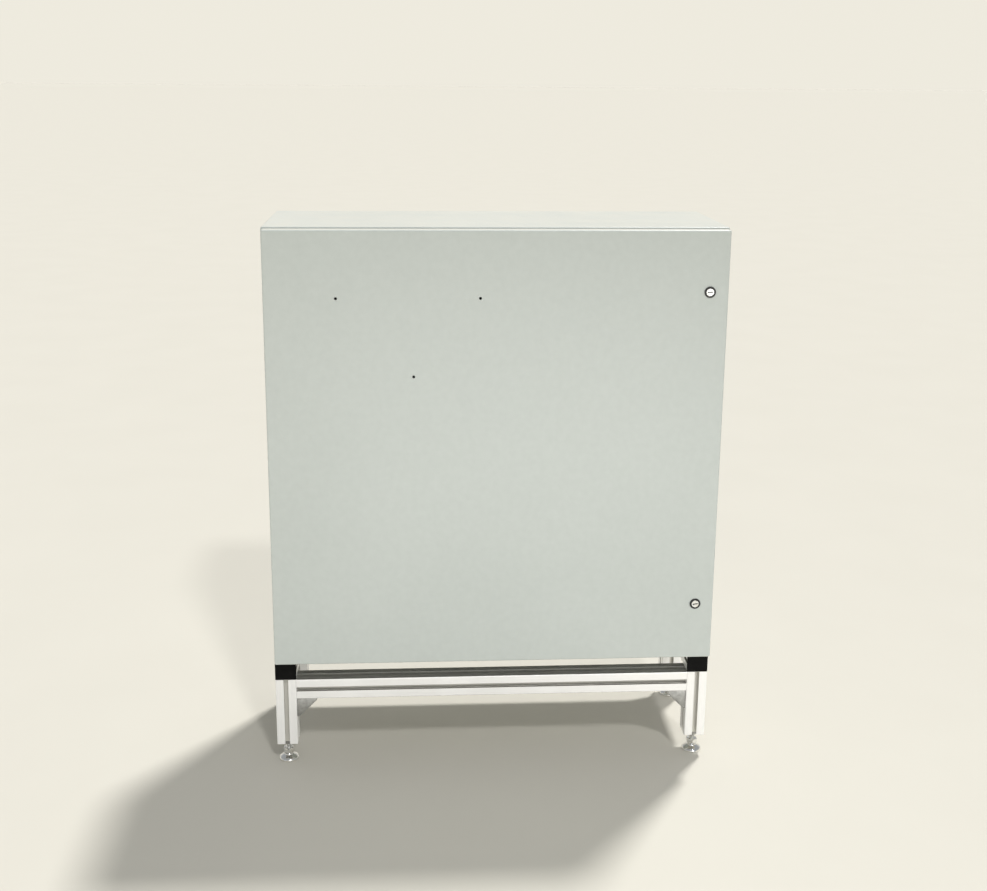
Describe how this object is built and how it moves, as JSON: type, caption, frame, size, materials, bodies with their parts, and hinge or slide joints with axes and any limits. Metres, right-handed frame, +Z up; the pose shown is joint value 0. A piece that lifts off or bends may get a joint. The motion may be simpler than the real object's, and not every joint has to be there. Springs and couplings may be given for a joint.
{
  "type": "electrical enclosure",
  "caption": "Light-grey steel electrical enclosure with a hinged door and quarter-turn latches, on a low stand of slotted aluminium bars with levelling feet.",
  "frame": {"origin": "on the floor under the middle of the cabinet's plan", "axes": "+X to the right seen from the front, +Y from the door to the back, +Z up"},
  "size_m": [0.94, 0.3326, 1.173],
  "materials": {
    "painted_steel": "satin light-grey powder coat with a fine texture",
    "galvanised_steel": "galvanised sheet, dull",
    "zinc_plated_steel": "bright zinc plating",
    "aluminium": "natural anodised extrusion, satin",
    "cast_aluminium": "tumbled casting, dull",
    "black_plastic": "moulded, matt",
    "dark_latch": "black coated die casting",
    "bright_latch": "bright plated",
    "foot_steel": "bright zinc plating",
    "seal_foam": "closed-cell foam"
  },
  "bodies": {
    "cabinet_and_stand": {"enclosure_body": "painted_steel", "hinge_body_leaf_lower": "zinc_plated_steel", "hinge_body_leaf_upper": "zinc_plated_steel", "hinge_pin_lower": "zinc_plated_steel", "hinge_pin_upper": "zinc_plated_steel", "mounting_plate": "galvanised_steel", "plate_studs": "zinc_plated_steel", "plate_nuts": "zinc_plated_steel", "gland_plate": "painted_steel", "gland_gasket": "seal_foam", "gland_screws": "zinc_plated_steel", "body_earth_stud": "zinc_plated_steel", "side_rail_left": "aluminium", "side_rail_right": "aluminium", "crossbar_front": "aluminium", "crossbar_rear": "aluminium", "rail_screws": "zinc_plated_steel", "enclosure_bolts": "zinc_plated_steel", "gusset_screws": "zinc_plated_steel", "slot_nuts": "zinc_plated_steel", "foot_lock_nuts": "zinc_plated_steel", "leg_front_left": "aluminium", "leg_rear_left": "aluminium", "leg_front_right": "aluminium", "leg_rear_right": "aluminium", "end_cap_front_left": "black_plastic", "end_cap_rear_left": "black_plastic", "end_cap_front_right": "black_plastic", "end_cap_rear_right": "black_plastic", "gusset_front_left": "cast_aluminium", "gusset_rear_left": "cast_aluminium", "gusset_front_right": "cast_aluminium", "gusset_rear_right": "cast_aluminium"},
    "door_assembly": {"door": "painted_steel", "door_gasket": "seal_foam", "door_rail_left": "galvanised_steel", "door_rail_right": "galvanised_steel", "hinge_door_leaf_lower": "zinc_plated_steel", "hinge_door_leaf_upper": "zinc_plated_steel", "latch_housing_lower": "dark_latch", "latch_housing_upper": "dark_latch", "latch_nut_lower": "zinc_plated_steel", "latch_nut_upper": "zinc_plated_steel", "door_earth_stud": "zinc_plated_steel"},
    "latch_lower": {"latch_core_lower": "bright_latch", "latch_cam_lower": "zinc_plated_steel", "latch_cam_nut_lower": "zinc_plated_steel"},
    "latch_upper": {"latch_core_upper": "bright_latch", "latch_cam_upper": "zinc_plated_steel", "latch_cam_nut_upper": "zinc_plated_steel"},
    "foot_front_left": {"foot_pad_front_left": "foot_steel", "foot_spindle_front_left": "foot_steel"},
    "foot_rear_left": {"foot_pad_rear_left": "foot_steel", "foot_spindle_rear_left": "foot_steel"},
    "foot_front_right": {"foot_pad_front_right": "foot_steel", "foot_spindle_front_right": "foot_steel"},
    "foot_rear_right": {"foot_pad_rear_right": "foot_steel", "foot_spindle_rear_right": "foot_steel"}
  },
  "joints": [
    {"name": "door_hinge", "type": "hinge", "parent": "cabinet_and_stand", "child": "door_assembly", "pos_m": [-0.4605, -0.14775, 0.708], "axis": [0, 0, -1], "range_deg": [0, 105]},
    {"name": "latch_lower_turn", "type": "hinge", "parent": "door_assembly", "child": "latch_lower", "pos_m": [0.4285, -0.14775, 0.371], "axis": [0, -1, 0], "range_deg": [0, 90]},
    {"name": "latch_upper_turn", "type": "hinge", "parent": "door_assembly", "child": "latch_upper", "pos_m": [0.4285, -0.14775, 1.045], "axis": [0, -1, 0], "range_deg": [0, 90]},
    {"name": "foot_front_left_screw", "type": "slide", "parent": "cabinet_and_stand", "child": "foot_front_left", "axis": [0, 0, -1], "range_m": [0, 0.03]},
    {"name": "foot_rear_left_screw", "type": "slide", "parent": "cabinet_and_stand", "child": "foot_rear_left", "axis": [0, 0, -1], "range_m": [0, 0.03]},
    {"name": "foot_front_right_screw", "type": "slide", "parent": "cabinet_and_stand", "child": "foot_front_right", "axis": [0, 0, -1], "range_m": [0, 0.03]},
    {"name": "foot_rear_right_screw", "type": "slide", "parent": "cabinet_and_stand", "child": "foot_rear_right", "axis": [0, 0, -1], "range_m": [0, 0.03]}
  ]
}
